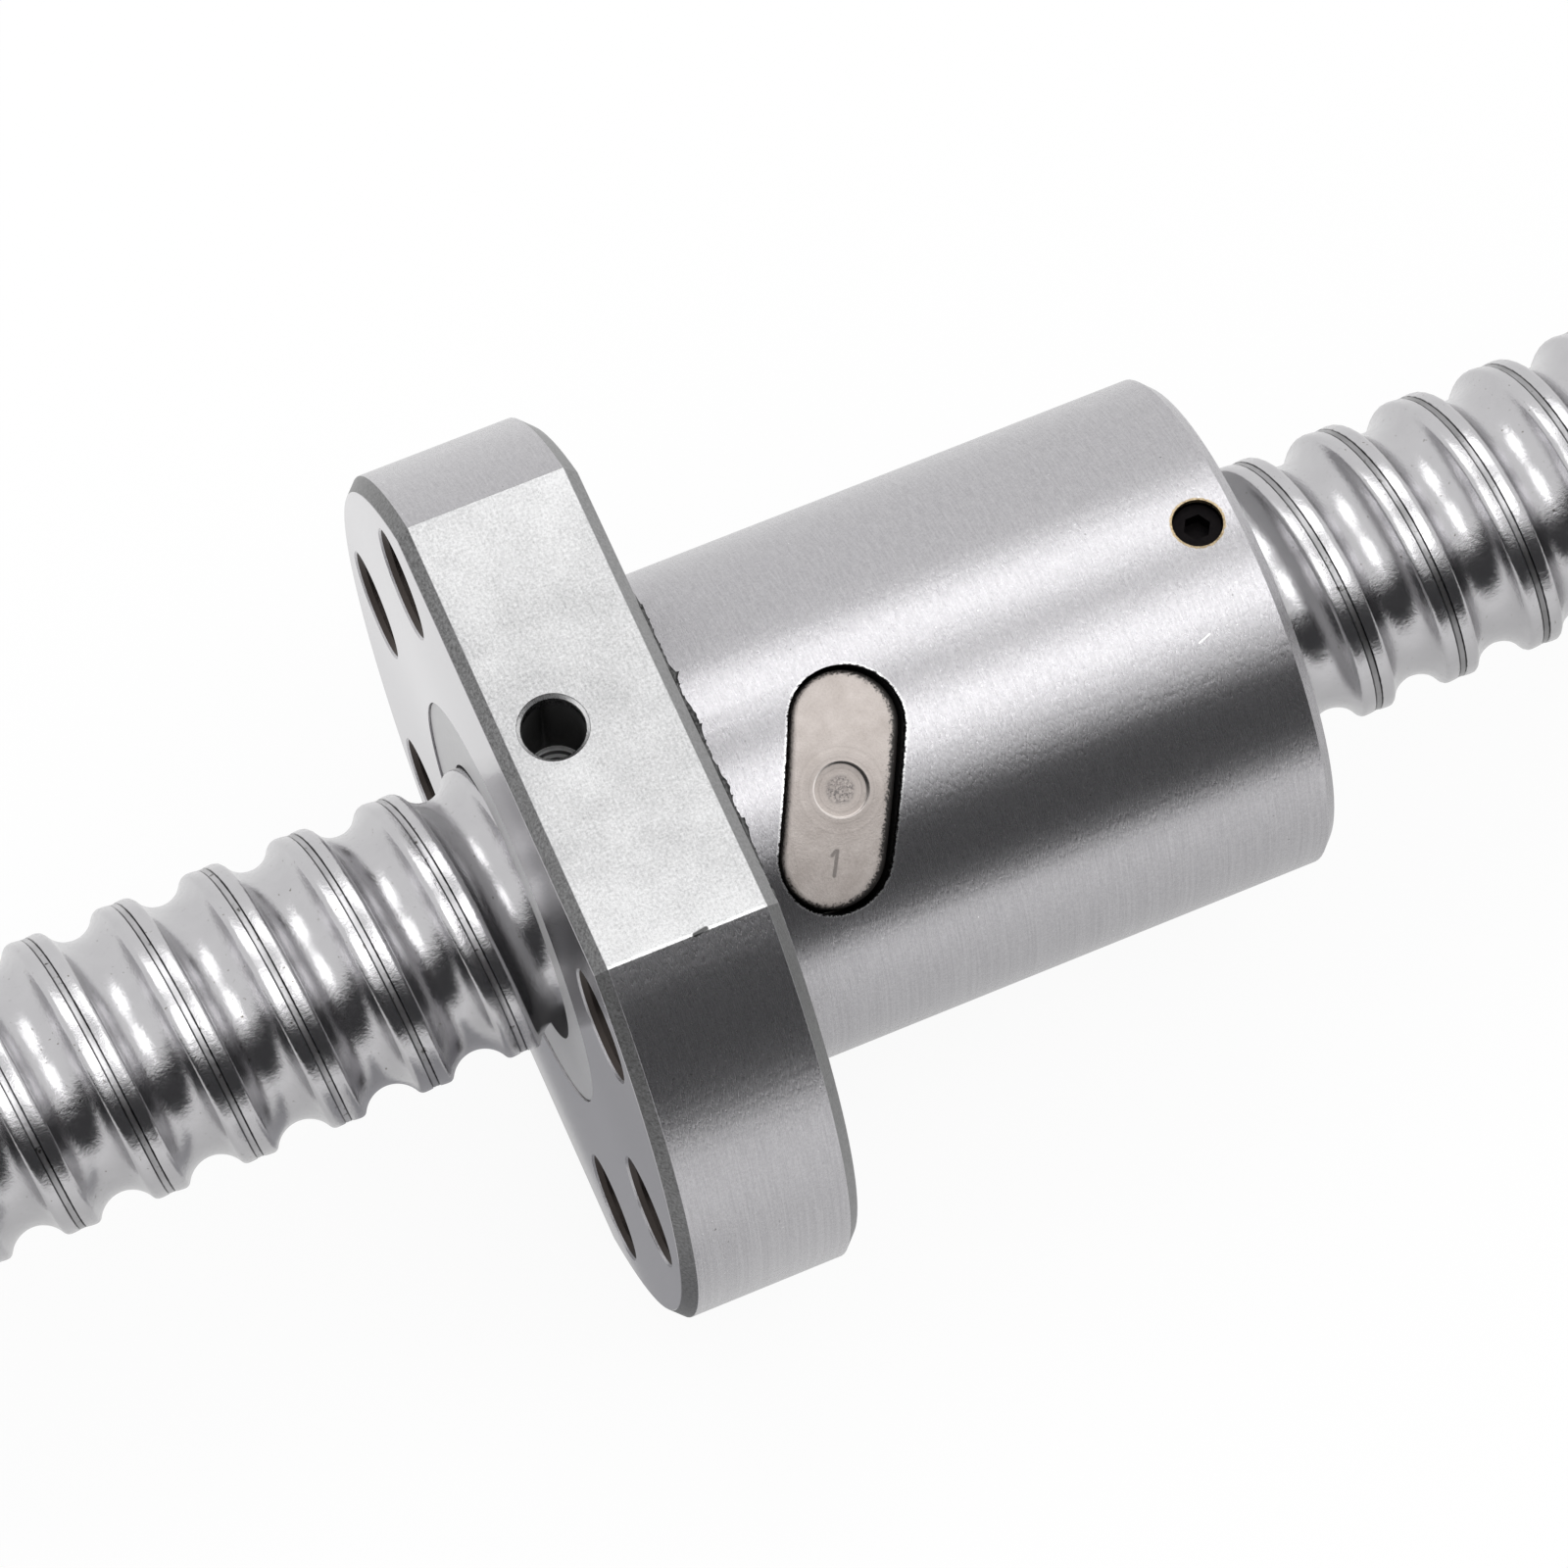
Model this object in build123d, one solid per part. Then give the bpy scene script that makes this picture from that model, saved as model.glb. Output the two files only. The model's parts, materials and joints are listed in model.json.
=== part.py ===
from build123d import *
import math
import os

os.makedirs("parts", exist_ok=True)

# Ball screw: a rolled screw of 16 mm nominal diameter and 5 mm lead, right hand, with a
# flanged nut that holds three circuits of balls. All lengths are millimetres.
# Each piece is worked out about the screw axis as its own Z, with angle 0 at the middle of
# the upper flat and angles growing the way a right-hand thread climbs. put() then turns it
# into the finished frame: X along the screw towards the nut's free end, Z up through the
# upper flat, and the origin on the axis in the plane of the flange's mounting face.

# Thread
lead = 5.0
ball_d = 3.175
ball_circle_d = 16.6
groove_conformity = 1.06  # groove radius over ball radius
screw_d = 15.4
groove_at_top = 3.75  # place along the axis of one groove turn, at angle 0
shoulder_r = 0.3  # rounding of the land's edges
shoulder_exit = 25.0  # degrees between that rounding's end and the land
cutter_rise = 0.15  # how far the groove's cutter stands above the land

# Screw
screw_length = 200.0
screw_end_chamfer = 1.0

# Nut body and flange
flange_d = 48.0
flange_thickness = 10.0
flats_apart = 40.0
flange_chamfer = 0.7
body_d = 28.0
body_length = 32.0
body_chamfer = 0.6
nut_bore_d = 16.3

# Flange holes
bolt_circle_d = 38.0
bolt_hole_d = 5.5
bolt_hole_chamfer = 0.4
bolt_angles = (45, 90, 135, 225, 270, 315)

# Grease hole in the upper flat, and the drilling from it to the ball space
grease_hole_d = 3.3
grease_hole_depth = 6.5
grease_hole_from_front = 3.25
grease_drilling_d = 1.4
grease_hole_chamfer = 0.25
grease_drilling_clear = 0.1  # between the front wiper's seat and the drilling

# Wipers and their seats
wiper_seat_d = 22.8
front_seat_depth = 3.3
rear_seat_depth = 4.4
wiper_recess = 0.12  # how far a wiper lies below the nut's end face
wiper_floor_gap = 0.08
wiper_fit = 0.05  # radial clearance in the seat
wiper_bore_gap = 0.12  # radial clearance over the screw's lands

# Lock screw over the rear wiper
lock_hole_d = 2.7
lock_screw_gap = 0.05
lock_screw_from_end = 2.6
lock_screw_recess = 0.55
lock_screw_lift = 0.08  # its tip stays this far above the wiper
lock_socket_across = 1.3
lock_socket_depth = 0.9

# Return inserts, one for each circuit, a third of a turn apart
circuits = 3
first_insert_angle = 25.6
first_insert_turn = 1  # whole turns from the groove at the top to the first insert
slot_length = 13.0
slot_width = 6.1
slot_tilt = 26.0  # degrees from the circumference
slot_gap = 0.28  # between an insert and its slot
insert_recess = 0.4
insert_rim = 0.3  # rounding of an insert's outer rim
insert_dimple_d = 2.9
insert_dimple_depth = 0.35
return_half_angle = 32.0  # half the angle in which balls cross over a land
return_lift_share = 0.55  # share of each half of the crossing in which a ball is lifted
pocket_reach = 1.7  # how far the pocket runs, in halves of the crossing
pocket_steps = 12  # points along each half of the pocket's walls
return_gap = 0.15  # between a crossing ball and the land
ball_pitch_factor = 1.03  # distance between balls over their diameter
track_steps = 2000  # points along each stretch of a ball's path, for spacing the balls

# Worked out
ball_r = ball_d / 2
groove_r = groove_conformity * ball_r
path_r = ball_circle_d / 2
screw_r = screw_d / 2
body_r = body_d / 2
seat_r = wiper_seat_d / 2
lead_angle = math.degrees(math.atan(lead / (math.pi * ball_circle_d)))
nut_front = -flange_thickness
nut_middle = (body_length - flange_thickness) / 2
screw_start = nut_middle - screw_length / 2
screw_stop = nut_middle + screw_length / 2
return_lift = screw_r + ball_r + return_gap - path_r
first_insert_at = groove_at_top + lead * (first_insert_turn - 0.5 + first_insert_angle / 360)
beyond = 1.0  # how far a cutter reaches past what it cuts

finished_frame = Plane(origin=(0, 0, 0), x_dir=(0, 0, 1), z_dir=(1, 0, 0)).location
standing = (Align.CENTER, Align.CENTER, Align.MIN)


def put(name, piece):
    """Turn a piece into the finished frame and write it."""
    piece = finished_frame * piece
    piece.label = name
    export_step(piece, f"parts/{name}.step")


def rod(diameter, low, high):
    """A round bar on the axis, from low to high."""
    return Pos(0, 0, low) * Cylinder(diameter / 2, high - low, align=standing)


def chamfered_rod(diameter, low, high, low_chamfer, high_chamfer):
    """A round bar on the axis with a 45 degree chamfer at each end that has one."""
    bar = rod(diameter, low, high)
    ends = bar.edges().filter_by(GeomType.CIRCLE).sort_by(Axis.Z)
    if low_chamfer:
        bar = chamfer(ends[0], low_chamfer)
    if high_chamfer:
        ends = bar.edges().filter_by(GeomType.CIRCLE).sort_by(Axis.Z)
        bar = chamfer(ends[-1], high_chamfer)
    return bar


def radial_plane(angle, along):
    """A plane from the axis point at along, facing outwards at angle, with X along the axis."""
    turn = math.radians(angle)
    outwards = (math.cos(turn), math.sin(turn), 0)
    return Plane(origin=(0, 0, along), x_dir=(0, 0, 1), z_dir=outwards)


def groove_sweep(profile, low, high):
    """Carry a profile along the ball path's helix, past low and high.

    The profile is drawn with X outwards and Y across the groove, with its origin at the ball's
    centre. One turn is swept, and its side faces are stacked, a lead apart.
    """
    turns_before = math.ceil((groove_at_top - low + beyond) / lead)
    start = groove_at_top - turns_before * lead
    turns = math.ceil((high + beyond - start) / lead)
    slope = math.radians(lead_angle)
    across = Plane(origin=(path_r, 0, 0), x_dir=(1, 0, 0), z_dir=(0, math.cos(slope), math.sin(slope)))
    helix = Helix(pitch=lead, height=lead, radius=path_r)
    one_turn = sweep(across * profile, path=helix, is_frenet=True)
    ends = one_turn.faces().filter_by(GeomType.PLANE).sort_by(Axis.Z)
    sides = [face for face in one_turn.faces() if face.geom_type != GeomType.PLANE]
    stack = [Pos(0, 0, start + n * lead) * side for n in range(turns) for side in sides]
    stack.append(Pos(0, 0, start) * ends[0])
    stack.append(Pos(0, 0, start + (turns - 1) * lead) * ends[-1])
    return Solid(Shell(stack))


def screw_groove_profile():
    """The round-bottomed groove with rounded shoulders that lead out onto the lands."""
    land = screw_r - path_r
    leaving = math.radians(shoulder_exit)
    round_x = land - shoulder_r * math.cos(leaving)
    round_y = math.sqrt((groove_r + shoulder_r) ** 2 - round_x**2)
    share = groove_r / (groove_r + shoulder_r)
    meet = (round_x * share, round_y * share)
    halfway = (math.atan2(-round_y, -round_x) - leaving) / 2
    middle = (round_x + shoulder_r * math.cos(halfway), round_y + shoulder_r * math.sin(halfway))
    leave = (land, round_y - shoulder_r * math.sin(leaving))
    top = (land + cutter_rise, leave[1] + cutter_rise / math.tan(leaving))
    far_meet, far_middle, far_leave, far_top = [(x, -y) for x, y in (meet, middle, leave, top)]
    return make_face(
        [
            ThreePointArc(far_meet, (-groove_r, 0), meet),
            ThreePointArc(meet, middle, leave),
            Line(leave, top),
            Line(top, far_top),
            Line(far_top, far_leave),
            ThreePointArc(far_leave, far_middle, far_meet),
        ]
    )


def screw_shaft():
    """The screw, with its groove running out at both square-cut, chamfered ends."""
    bar = chamfered_rod(screw_d, screw_start, screw_stop, screw_end_chamfer, screw_end_chamfer)
    return bar - groove_sweep(screw_groove_profile(), screw_start, screw_stop)


def return_point(middle, angle, share):
    """A ball centre on the way over a land; share runs from -1 to 1 across the insert.

    The crossing follows (15u - 10u^3 + 3u^5) / 8 and the lift a smooth step, so that a ball is
    lifted out of its groove before it moves sideways. Past -1 and 1 the path is the helix.
    """
    inside = max(-1.0, min(1.0, share))
    cross = (15 * inside - 10 * inside**3 + 3 * inside**5) / 8
    rise = min(1.0, (1 - abs(inside)) / return_lift_share)
    radius = path_r + return_lift * (3 * rise**2 - 2 * rise**3)
    turn = math.radians(angle + share * return_half_angle)
    height = middle - lead / 2 * cross + lead * share * return_half_angle / 360
    return (radius * math.cos(turn), radius * math.sin(turn), height)


def return_pocket(middle, angle):
    """The S-shaped pocket milled into an insert from the bore side, as wide as the groove.

    Its two walls run alongside the ball path, a groove's radius away, seen from outside.
    """
    last = 2 * pocket_steps
    shares = [pocket_reach * (n / pocket_steps - 1) for n in range(last + 1)]
    turn = math.radians(angle)
    seen = []
    for share in shares:
        x, y, z = return_point(middle, angle, share)
        seen.append((z - middle, x * math.sin(turn) - y * math.cos(turn)))
    left, right = [], []
    for n, (along, across) in enumerate(seen):
        before, after = seen[max(n - 1, 0)], seen[min(n + 1, last)]
        run = math.dist(before, after)
        step = ((after[0] - before[0]) / run, (after[1] - before[1]) / run)
        left.append((along - groove_r * step[1], across + groove_r * step[0]))
        right.append((along + groove_r * step[1], across - groove_r * step[0]))
    walls = [Spline(left), Line(left[-1], right[-1]), Spline(right), Line(right[0], left[0])]
    roof = path_r + return_lift + groove_r
    return radial_plane(angle, middle) * extrude(make_face(walls), roof)


def slot_block(middle, angle, gap, low, high):
    """A pill-shaped block, smaller than the slot by gap all round, from radius low to high."""
    pill = SlotOverall(slot_length - 2 * gap, slot_width - 2 * gap, rotation=90 - slot_tilt)
    return radial_plane(angle, middle) * (Pos(0, 0, low) * extrude(pill, high - low))


def insert_places():
    """The middle and angle of each return insert."""
    along, turn = lead + lead / circuits, 360 / circuits
    counts = range(circuits)
    return [(first_insert_at + n * along, first_insert_angle + n * turn) for n in counts]


def return_insert(middle, angle):
    """An insert that fills its slot from the bore outwards and carries the return pocket inside."""
    outer = body_r - insert_recess
    low, high = middle - slot_length, middle + slot_length
    block = slot_block(middle, angle, slot_gap, 0, body_r) & rod(2 * outer, low, high)
    top = block.faces().sort_by(lambda face: math.hypot(face.center().X, face.center().Y))[-1]
    block = fillet(top.edges(), insert_rim) - rod(nut_bore_d, low - beyond, high + beyond)
    dimple = Pos(0, 0, outer - insert_dimple_depth) * extrude(Circle(insert_dimple_d / 2), body_r)
    return block - return_pocket(middle, angle) - radial_plane(angle, middle) * dimple


def flange():
    """The round flange with two flats, chamfered along both faces."""
    outline = Circle(flange_d / 2) & Rectangle(flats_apart, flange_d)
    plate = Pos(0, 0, nut_front) * extrude(outline, flange_thickness)
    rims = plate.faces().filter_by(Axis.Z).edges()
    return chamfer(rims, flange_chamfer)


def bolt_hole(angle):
    """One hole of the flange, with a small chamfer at each face."""
    mouth = bolt_hole_d / 2 + bolt_hole_chamfer
    depth = flange_thickness / 2
    outline = Polyline(
        (0, 0),
        (bolt_hole_d / 2, 0),
        (bolt_hole_d / 2, depth - bolt_hole_chamfer),
        (mouth + beyond, depth + beyond),
        (0, depth + beyond),
        close=True,
    )
    half = revolve(Plane.XZ * make_face(outline), Axis.Z)
    hole = half + mirror(half, Plane.XY)
    return Rot(0, 0, angle) * Pos(bolt_circle_d / 2, 0, nut_front / 2) * hole


def grease_way():
    """The tapped hole in the upper flat and the drilling from its floor to behind the front wiper."""
    top = flats_apart / 2
    hole_at = nut_front + grease_hole_from_front
    floor = top - grease_hole_depth
    mouth_r = grease_hole_d / 2 + grease_hole_chamfer
    hole = Pos(0, 0, floor) * extrude(Circle(grease_hole_d / 2), grease_hole_depth + beyond)
    rim = Pos(0, 0, top - grease_hole_chamfer) * Cone(
        grease_hole_d / 2,
        mouth_r + grease_hole_chamfer,
        2 * grease_hole_chamfer,
        align=standing,
    )
    drilling_at = nut_front + front_seat_depth + grease_drilling_clear + grease_drilling_d / 2
    drilling = Pos(0, 0, screw_r) * extrude(Circle(grease_drilling_d / 2), floor - screw_r + beyond)
    return radial_plane(0, hole_at) * (hole + rim) + radial_plane(0, drilling_at) * drilling


def lock_hole():
    """The hole through the wall over the rear wiper."""
    low = seat_r - beyond
    hole = Pos(0, 0, low) * extrude(Circle(lock_hole_d / 2), body_r + beyond - low)
    return radial_plane(0, body_length - lock_screw_from_end) * hole


def lock_screw():
    """A short headless screw with a hexagon socket."""
    low = seat_r + lock_screw_lift
    high = body_r - lock_screw_recess
    bar = Pos(0, 0, low) * extrude(Circle(lock_hole_d / 2 - lock_screw_gap), high - low)
    corner = lock_socket_across / math.sqrt(3)
    hexagon = extrude(RegularPolygon(corner, 6), lock_socket_depth + beyond)
    socket = Pos(0, 0, high - lock_socket_depth) * hexagon
    return radial_plane(0, body_length - lock_screw_from_end) * (bar - socket)


def nut_body():
    """The nut in one piece: flange, body, ball groove, wiper seats, insert slots and holes."""
    body = chamfered_rod(body_d, nut_front + flange_thickness / 2, body_length, 0, body_chamfer)
    nut = body + flange()
    nut -= rod(nut_bore_d, nut_front - beyond, body_length + beyond)
    nut -= rod(wiper_seat_d, nut_front - beyond, nut_front + front_seat_depth)
    nut -= rod(wiper_seat_d, body_length - rear_seat_depth, body_length + beyond)
    nut -= [bolt_hole(angle) for angle in bolt_angles]
    nut -= grease_way()
    nut -= lock_hole()
    for middle, angle in insert_places():
        nut -= slot_block(middle, angle, 0, 0, body_r + beyond)
    front_floor, rear_floor = nut_front + front_seat_depth, body_length - rear_seat_depth
    nut -= groove_sweep(Circle(groove_r), front_floor, rear_floor)
    return nut


def wiper(low, high):
    """A wiper ring, with a running gap to its seat and over the screw."""
    outer_d = wiper_seat_d - 2 * wiper_fit
    inner_d = screw_d + 2 * wiper_bore_gap
    return rod(outer_d, low, high) - rod(inner_d, low - beyond, high + beyond)


def ball_centres(middle, angle):
    """Evenly spaced places on one circuit: round the groove, then back through the insert."""
    free = 360 - 2 * return_half_angle
    track = []
    for n in range(track_steps):
        turn = return_half_angle + free * n / track_steps
        spot = math.radians(angle + turn)
        height = middle - lead / 2 + lead * turn / 360
        track.append((path_r * math.cos(spot), path_r * math.sin(spot), height))
    for n in range(track_steps + 1):
        track.append(return_point(middle, angle, 2 * n / track_steps - 1))
    reached = [0.0]
    for before, after in zip(track, track[1:]):
        reached.append(reached[-1] + math.dist(before, after))
    count = int(reached[-1] / (ball_d * ball_pitch_factor))
    wanted = [reached[-1] * (n + 0.5) / count for n in range(count)]
    placed = list(zip(track, reached))
    return [next(point for point, so_far in placed if so_far >= goal) for goal in wanted]


def build():
    """Make every piece and write it."""
    places = insert_places()
    put("screw_shaft", screw_shaft())
    put("nut_body", nut_body())
    for number, (middle, angle) in enumerate(places, 1):
        put(f"return_insert_{number}", return_insert(middle, angle))
        for ball, centre in enumerate(ball_centres(middle, angle), 1):
            put(f"ball_{number}_{ball:02d}", Pos(*centre) * Sphere(ball_r))
    front_floor = nut_front + front_seat_depth
    rear_floor = body_length - rear_seat_depth
    put("wiper_front", wiper(nut_front + wiper_recess, front_floor - wiper_floor_gap))
    put("wiper_rear", wiper(rear_floor + wiper_floor_gap, body_length - wiper_recess))
    put("wiper_lock_screw", lock_screw())


build()
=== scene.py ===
import json
import math

import bmesh
import bpy
import numpy as np
from mathutils import Matrix, Vector


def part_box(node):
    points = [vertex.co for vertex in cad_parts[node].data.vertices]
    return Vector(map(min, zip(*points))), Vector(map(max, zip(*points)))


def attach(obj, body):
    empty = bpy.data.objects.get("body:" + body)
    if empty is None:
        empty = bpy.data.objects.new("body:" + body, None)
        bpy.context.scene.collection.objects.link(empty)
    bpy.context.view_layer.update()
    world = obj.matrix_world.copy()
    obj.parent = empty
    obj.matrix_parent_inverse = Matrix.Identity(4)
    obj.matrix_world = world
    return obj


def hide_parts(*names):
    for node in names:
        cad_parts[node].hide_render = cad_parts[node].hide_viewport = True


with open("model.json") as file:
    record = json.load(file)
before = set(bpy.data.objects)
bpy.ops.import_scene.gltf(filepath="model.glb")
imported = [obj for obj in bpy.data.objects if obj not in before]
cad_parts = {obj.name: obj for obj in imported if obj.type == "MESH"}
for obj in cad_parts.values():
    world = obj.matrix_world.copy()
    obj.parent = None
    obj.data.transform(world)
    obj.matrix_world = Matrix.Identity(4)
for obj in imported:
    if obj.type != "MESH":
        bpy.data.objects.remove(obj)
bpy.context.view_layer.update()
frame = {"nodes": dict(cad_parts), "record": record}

# Looks of a flanged ball nut on its rolled screw: X runs along the screw, Z stands on the
# flange's upper flat, and the origin is on the axis in the flange's mounting face.
mm = 0.001

# Sizes taken from the frame, in millimetres
record = frame["record"]
mounts = {mount["name"]: mount for mount in record["mounts"]}
lead = 2 * math.pi / record["behaviour"]["couplings"][0]["ratio"] / mm
body_r = mounts["body_spigot"]["dims"]["r_mm"]
nut_low, nut_high = [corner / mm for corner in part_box("nut_body")]
screw_low, screw_high = [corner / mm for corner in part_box("screw_shaft")]
ball_low, ball_high = [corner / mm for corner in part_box("ball_1_01")]
flange_r = nut_high.y
flat_height = nut_high.z
screw_r = (screw_high.z - screw_low.z) / 2
ball_r = (ball_high.x - ball_low.x) / 2

# Thread form, in millimetres
groove_r = 1.06 * ball_r
ball_circle_r = 8.3
groove_at_top = 3.75
land_rounding = 0.38
lip_fall = 0.035
seam_half_width = 0.18
seam_line = 0.04
seam_depth = 0.07
band_fall = 0.02
band_wander = 0.03
end_chamfer = 1.0

# Edges, holes and slots in the nut, in millimetres and degrees
flange_chamfer = 0.7
slot_x, slot_angle = 6.606, 25.6
slot_length, slot_width, slot_tilt = 13.0, 6.1, 26.0
grease_x, grease_r = mounts["grease_port"]["pos_m"][0] / mm, mounts["grease_port"]["dims"]["r_mm"]
lock_x, lock_r = nut_high.x - 2.6, 1.35

# Marks on the nut, in millimetres: the middles of the nick and the scratch, the ends of the
# torn edge, the insert's dimple, and the place of its figure along and across the slot
nick_x, nick_y = -4.3, -13.2
scratch_x, scratch_y = 27.25, -5.7
torn_from_y, torn_to_y = 5.6, -12.9
dimple_r = 1.43
figure_along, figure_across = -3.8, 0.1


class Finish:
    """A node material in the making, on positions in millimetres from the object's origin."""

    def __init__(self, name, metallic=1.0, roughness=0.3, anisotropic=0.0, turn=0.0):
        self.material = bpy.data.materials.new(name)
        self.material.use_nodes = True
        self.tree = self.material.node_tree
        self.shader = self.tree.nodes["Principled BSDF"]
        self.shader.inputs["Metallic"].default_value = metallic
        self.shader.inputs["Roughness"].default_value = roughness
        self.shader.inputs["Anisotropic"].default_value = anisotropic
        self.shader.inputs["Anisotropic Rotation"].default_value = turn
        place = self.add("ShaderNodeTexCoord").outputs["Object"]
        self.place = self.vector("SCALE", place, scale=1 / mm)
        split = self.add("ShaderNodeSeparateXYZ", {0: self.place})
        self.x, self.y, self.z = split.outputs
        self.radius = self.distance(self.y, self.z)

    def add(self, kind, values=None, **settings):
        """A new node with its settings, and values or links for its sockets."""
        node = self.tree.nodes.new(kind)
        for key, value in settings.items():
            setattr(node, key, value)
        for socket, value in (values or {}).items():
            self.feed(node.inputs[socket], value)
        return node

    def feed(self, socket, value):
        """Link a socket, or set it if the value is plain."""
        if isinstance(value, bpy.types.NodeSocket):
            self.tree.links.new(value, socket)
        else:
            socket.default_value = value

    def math(self, operation, *values):
        """One sum on numbers."""
        return self.add("ShaderNodeMath", dict(enumerate(values)), operation=operation).outputs[0]

    def vector(self, operation, *values, scale=None):
        """One sum on vectors."""
        node = self.add("ShaderNodeVectorMath", dict(enumerate(values)), operation=operation)
        if scale is not None:
            node.inputs["Scale"].default_value = scale
        return node.outputs[0]

    def joined(self, x, y, z):
        """A vector of three numbers."""
        return self.add("ShaderNodeCombineXYZ", {0: x, 1: y, 2: z}).outputs[0]

    def noise(self, where, scale=1.0, detail=2.0, roughness=0.5):
        """Smooth noise, from 0 to 1."""
        values = {"Vector": where, "Scale": scale, "Detail": detail, "Roughness": roughness}
        return self.add("ShaderNodeTexNoise", values).outputs[0]

    def stretched(self, factors, detail=2.0, roughness=0.5, turned=(0, 0, 0)):
        """Noise on the position, with its own scale along each axis."""
        values = {"Vector": self.place, "Rotation": turned, "Scale": factors}
        where = self.add("ShaderNodeMapping", values).outputs[0]
        return self.noise(where, 1.0, detail, roughness)

    def rings(self, radius, scale):
        """Noise that changes with one number alone, such as a radius."""
        where = self.joined(self.times(radius, scale), 0.0, 0.0)
        return self.noise(where, 1.0, 2.0, 0.6)

    def span(self, value, low, high, out_low=0.0, out_high=1.0):
        """Value carried from low..high to out_low..out_high, held at both ends."""
        values = {0: value, 1: low, 2: high, 3: out_low, 4: out_high}
        return self.add("ShaderNodeMapRange", values, clamp=True).outputs[0]

    def mix(self, share, low, high):
        """Between two numbers."""
        return self.add("ShaderNodeMix", {0: share, 2: low, 3: high}, data_type="FLOAT").outputs[0]

    def mix_colour(self, share, low, high):
        """Between two colours."""
        return self.add("ShaderNodeMix", {0: share, 6: low, 7: high}, data_type="RGBA").outputs[2]

    def bump(self, height, distance, strength=1.0, before=None):
        """Relief from a height, where distance is its size in millimetres."""
        values = {"Height": height, "Distance": distance * mm, "Strength": strength}
        if before is not None:
            values["Normal"] = before
        return self.add("ShaderNodeBump", values).outputs[0]

    def use(self, **sockets):
        """Feed the shader's sockets, such as Base_Color."""
        for name, value in sockets.items():
            self.feed(self.shader.inputs[name.replace("_", " ")], value)

    def plus(self, first, second):
        """The sum of two numbers."""
        return self.math("ADD", first, second)

    def minus(self, first, second):
        """The first number less the second."""
        return self.math("SUBTRACT", first, second)

    def times(self, first, second):
        """The product of two numbers."""
        return self.math("MULTIPLY", first, second)

    def size(self, value):
        """A number without its sign."""
        return self.math("ABSOLUTE", value)

    def larger(self, first, second):
        """The larger of two numbers."""
        return self.math("MAXIMUM", first, second)

    def less(self, value, limit):
        """1 below a limit, and 0 above it."""
        return self.math("LESS_THAN", value, limit)

    def more(self, value, limit):
        """1 above a limit, and 0 below it."""
        return self.math("GREATER_THAN", value, limit)

    def opposite(self, mask):
        """1 where a mask is 0."""
        return self.minus(1, mask)

    def both(self, *masks):
        """1 where every mask is 1."""
        result = masks[0]
        for mask in masks[1:]:
            result = self.times(result, mask)
        return result

    def between(self, value, low, high):
        """1 where a value lies between two plain numbers, and 0 elsewhere."""
        return self.both(self.more(value, low), self.less(value, high))

    def distance(self, first, second):
        """The length of a pair of numbers."""
        squares = self.plus(self.math("POWER", first, 2), self.math("POWER", second, 2))
        return self.math("SQRT", squares)

    def stroke(self, first, second, lean, length, width):
        """1 on a round-ended stroke about the place where both numbers are 0, leaning by an angle."""
        turn = math.radians(lean)
        along = self.plus(self.times(first, math.cos(turn)), self.times(second, math.sin(turn)))
        across = self.minus(self.times(second, math.cos(turn)), self.times(first, math.sin(turn)))
        past = self.larger(self.minus(self.size(along), (length - width) / 2), 0)
        return self.span(self.distance(past, across), 0.65 * width, 0.35 * width)

    def slot_places(self):
        """Where a point is on the nearest return slot: from its outline, along it and across it.

        The slots are pills on planes that face outwards. They stand a third of a turn apart, each
        one and a third leads further along the screw, and their long axis leans from the
        circumference.
        """
        angle = self.math("ARCTAN2", self.times(self.y, -1), self.z)
        angle = self.math("FLOORED_MODULO", angle, 2 * math.pi)
        from_first = self.minus(angle, math.radians(slot_angle))
        third = 2 * math.pi / 3
        count = self.math("MINIMUM", self.math("ROUND", self.math("DIVIDE", from_first, third)), 2)
        turn = self.minus(from_first, self.times(count, third))
        side = self.times(self.radius, self.math("SINE", turn))
        near = self.minus(self.x, self.math("MULTIPLY_ADD", count, lead * 4 / 3, slot_x))
        lean = math.radians(90 - slot_tilt)
        along = self.minus(self.times(near, math.cos(lean)), self.times(side, math.sin(lean)))
        across = self.plus(self.times(near, math.sin(lean)), self.times(side, math.cos(lean)))
        past = self.larger(self.minus(self.size(along), (slot_length - slot_width) / 2), 0)
        outline = self.minus(self.distance(past, across), slot_width / 2)
        return outline, along, across


def grey(level, red=0.0, blue=0.0):
    """A nearly neutral colour."""
    return (level + red, level, level + blue, 1)


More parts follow.
